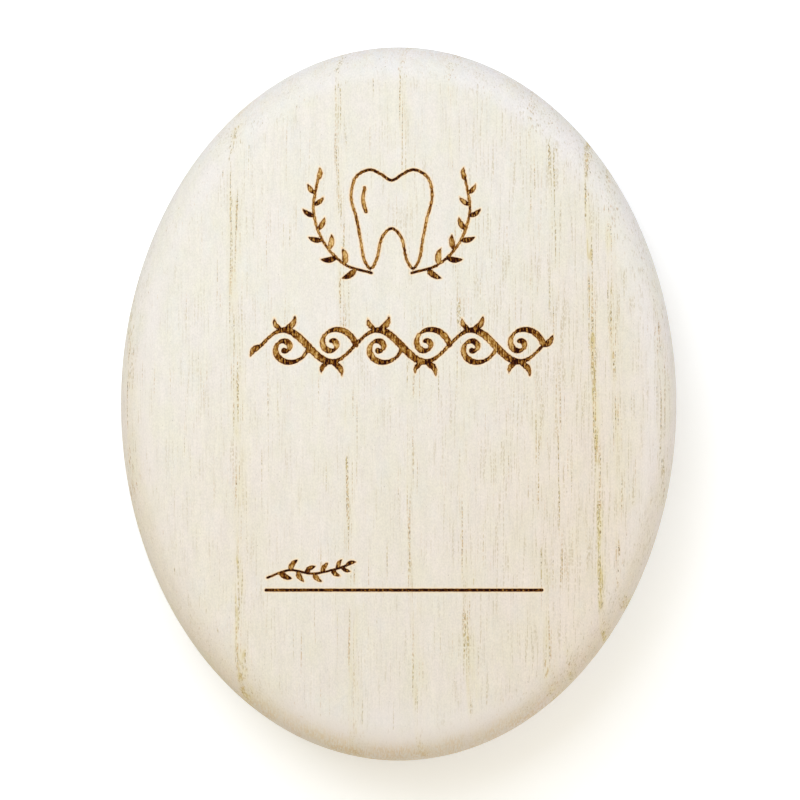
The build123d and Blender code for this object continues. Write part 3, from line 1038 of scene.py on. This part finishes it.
def tray_numerals():
    """The numbers one to twenty, counted clockwise from the last tooth at the upper left, each beside its
    well. A number stands inwards of its well, by the well's radius, a gap and the reach of the number's own
    box that way. The record's box of an opening has its corners on the wall of the well."""
    openings = frame["record"]["physics"]["openings"]
    boxes = np.array([o["box_m"] for o in openings if o["name"].startswith("well_")])[:, :, :2] / MM
    middles = boxes.mean(1)
    radii = np.hypot(*np.ptp(boxes, axis=1).T) / 2
    turn = np.mod(math.pi - np.arctan2(middles[:, 1], middles[:, 0]), 2 * math.pi)
    top = box_mm("tooth_tray")[1][2]
    parts, faces, first = [], [], 0
    for number, at in enumerate(np.argsort(turn), start=1):
        corners, sides = numeral(number)
        inward = -middles[at] / np.hypot(*middles[at])
        reach = np.abs(inward) @ np.ptp(corners, axis=0)[:2] / 2
        place = middles[at] + (radii[at] + NUMERAL_GAP + reach) * inward
        parts.append(corners + np.append(place, top))
        faces += [first + side for side in sides]
        first += len(corners)
    points, merged = weld(np.vstack(parts), NUMERAL_WELD_DIGITS)
    mesh = bpy.data.meshes.new("tray_numerals")
    mesh.from_pydata((points * MM).tolist(), [], [merged[face].tolist() for face in faces])
    return show("tray_numerals", mesh, burnt_numeral())


# Where in the log each plain wooden piece is cut, in millimetres, and how strong its rings are
BASE_CUT = ((4.0, 61.0, 9.0), 1.0)
TRAY_CUT = ((-17.0, 140.0, 40.0), 0.7)
PLUG_CUT = ((22.0, -60.0, 4.0), 1.0)
# Roughness of each metal and the width of its rings in millimetres
BRASS_FINISH = (0.34, 0.12)
STEEL_FINISH = (0.36, 0.14)
NICKEL_FINISH = (0.26, 0.5)


def dress(node, finish):
    """Gives a CAD node its finish."""
    slots = frame["nodes"][node].data.materials
    slots.clear()
    slots.append(finish)


def dress_nodes():
    """Finishes of every CAD node that shows."""
    dress("base", bare_wood("base_wood", *BASE_CUT))
    dress("tooth_tray", bare_wood("tray_wood", *TRAY_CUT))
    dress("pivot_plug", bare_wood("plug_wood", *PLUG_CUT))
    pivot = frame["joints"][0]["pos_m"]
    dress("pivot_bush", moulded_nylon())
    dress("lid_insert", turned_metal("turned_brass", BRASS, pivot, *BRASS_FINISH))
    steel = turned_metal("turned_steel", STEEL, pivot, *STEEL_FINISH)
    dress("pivot_screw", steel)
    dress("head_washer", steel)
    for side in ("left", "right"):
        low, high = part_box(f"base_magnet_{side}")
        plated = turned_metal(f"nickel_plate_{side}", NICKEL, tuple((low + high) / 2), *NICKEL_FINISH)
        dress(f"base_magnet_{side}", plated)
        dress(f"lid_magnet_{side}", plated)


def sees_white(nodes):
    """One for rays that show the background white: the camera's, and those off gloss or through glass."""
    path = nodes.add("ShaderNodeLightPath").outputs
    seen = nodes.math("MAXIMUM", path["Is Camera Ray"], path["Is Glossy Ray"])
    return nodes.math("MAXIMUM", seen, path["Is Transmission Ray"])


def lay_floor():
    """A wide pale floor. It shows white where nothing shades it, and keeps the object's shadow.
    Away from the object, where the lamps don't reach, its own white takes over, which lights nothing."""
    made, nodes, shader, coordinates = material("studio_floor")
    grain = nodes.noise(nodes.scaled(coordinates["Object"], FLOOR_GRAIN_PER_M), detail=3.0)
    nodes.feed(shader.inputs["Base Color"], nodes.mix(grain, *FLOOR_PAINT))
    shader.inputs["Roughness"].default_value = 0.9
    away = nodes.measure("LENGTH", coordinates["Object"])
    white = nodes.smooth(away, *FLOOR_GLOW_REACH, FLOOR_GLOW, 1.0)
    glow = nodes.times(sees_white(nodes), white)
    nodes.feed(shader.inputs["Emission Color"], nodes.grey(glow))
    shader.inputs["Emission Strength"].default_value = 1.0
    mesh = bpy.data.meshes.new("floor")
    side = FLOOR_SIDE / 2
    corners = [(x * side, y * side, -FLOOR_DROP) for x, y in ((-1, -1), (1, -1), (1, 1), (-1, 1))]
    mesh.from_pydata(corners, [], [(0, 1, 2, 3)])
    show("floor", mesh, made)


def light_world():
    """A dim even room with a low panel on each side, light from below that the floor hides, and white behind
    the object."""
    world = bpy.data.worlds.new("studio")
    bpy.context.scene.world = world
    world.use_nodes = True
    world.node_tree.nodes.clear()
    nodes = Nodes(world.node_tree)
    direction = nodes.add("ShaderNodeTexCoord").outputs["Generated"]
    rise = nodes.split(direction)[2]
    low = nodes.smooth(rise, PANEL_TOP, 0.0)
    light = ROOM_LIGHT
    for towards, edge, full, panel in PANELS:
        facing = nodes.smooth(nodes.measure("DOT_PRODUCT", direction, towards), edge, full)
        share = nodes.grey(nodes.times(facing, low))
        light = nodes.vector("MULTIPLY_ADD", share, panel, light)
    light = nodes.mix(nodes.smooth(rise, UNDER_START, UNDER_FULL), light, (*UNDER_LIGHT, 1.0))
    shown = nodes.mix(sees_white(nodes), light, (1, 1, 1, 1))
    background = nodes.add("ShaderNodeBackground", {"Color": shown})
    nodes.add("ShaderNodeOutputWorld", {"Surface": background.outputs[0]})


def softbox(name, place, light):
    """A square lamp that points at the box. Its light is its power in red, green and blue."""
    lamp = bpy.data.lights.new(name, "AREA")
    lamp.size = LAMP_SIZE
    lamp.energy = max(light)
    lamp.color = [part / max(light) for part in light]
    made = new_object(name, lamp)
    made.location = place
    made.rotation_mode = "QUATERNION"
    made.rotation_quaternion = (-Vector(place)).to_track_quat("-Z", "Y")
    made.visible_camera = False


def set_camera():
    """A long lens straight above, placed so that the lid's outline lies where the photograph has it."""
    low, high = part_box("lid")
    metres_per_px = (high[0] - low[0]) / OUTLINE_WIDTH_PX
    camera = bpy.data.cameras.new("camera")
    camera.sensor_width = SENSOR_WIDTH
    camera.lens = SENSOR_WIDTH * CAMERA_DISTANCE / (PHOTO_SIZE * metres_per_px)
    camera.clip_start = CLIP_START
    camera.clip_end = CLIP_END
    made = new_object("camera", camera)
    aside = (PHOTO_SIZE / 2 - OUTLINE_CENTRE_PX[0]) * metres_per_px
    along = (OUTLINE_CENTRE_PX[1] - PHOTO_SIZE / 2) * metres_per_px
    outline_height = high[2] - TOP_ROUND * MM
    made.location = (aside, along, outline_height + CAMERA_DISTANCE)
    bpy.context.scene.camera = made


set_camera()
lay_floor()
light_world()
softbox("key_light", KEY_PLACE, KEY_LIGHT)
softbox("top_light", TOP_PLACE, TOP_LIGHT)

lid = lid_board()
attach(lid, "lid")
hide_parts("lid")

numerals = tray_numerals()
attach(numerals, "base")

dress_nodes()
bpy.context.scene.view_settings.view_transform = "Standard"
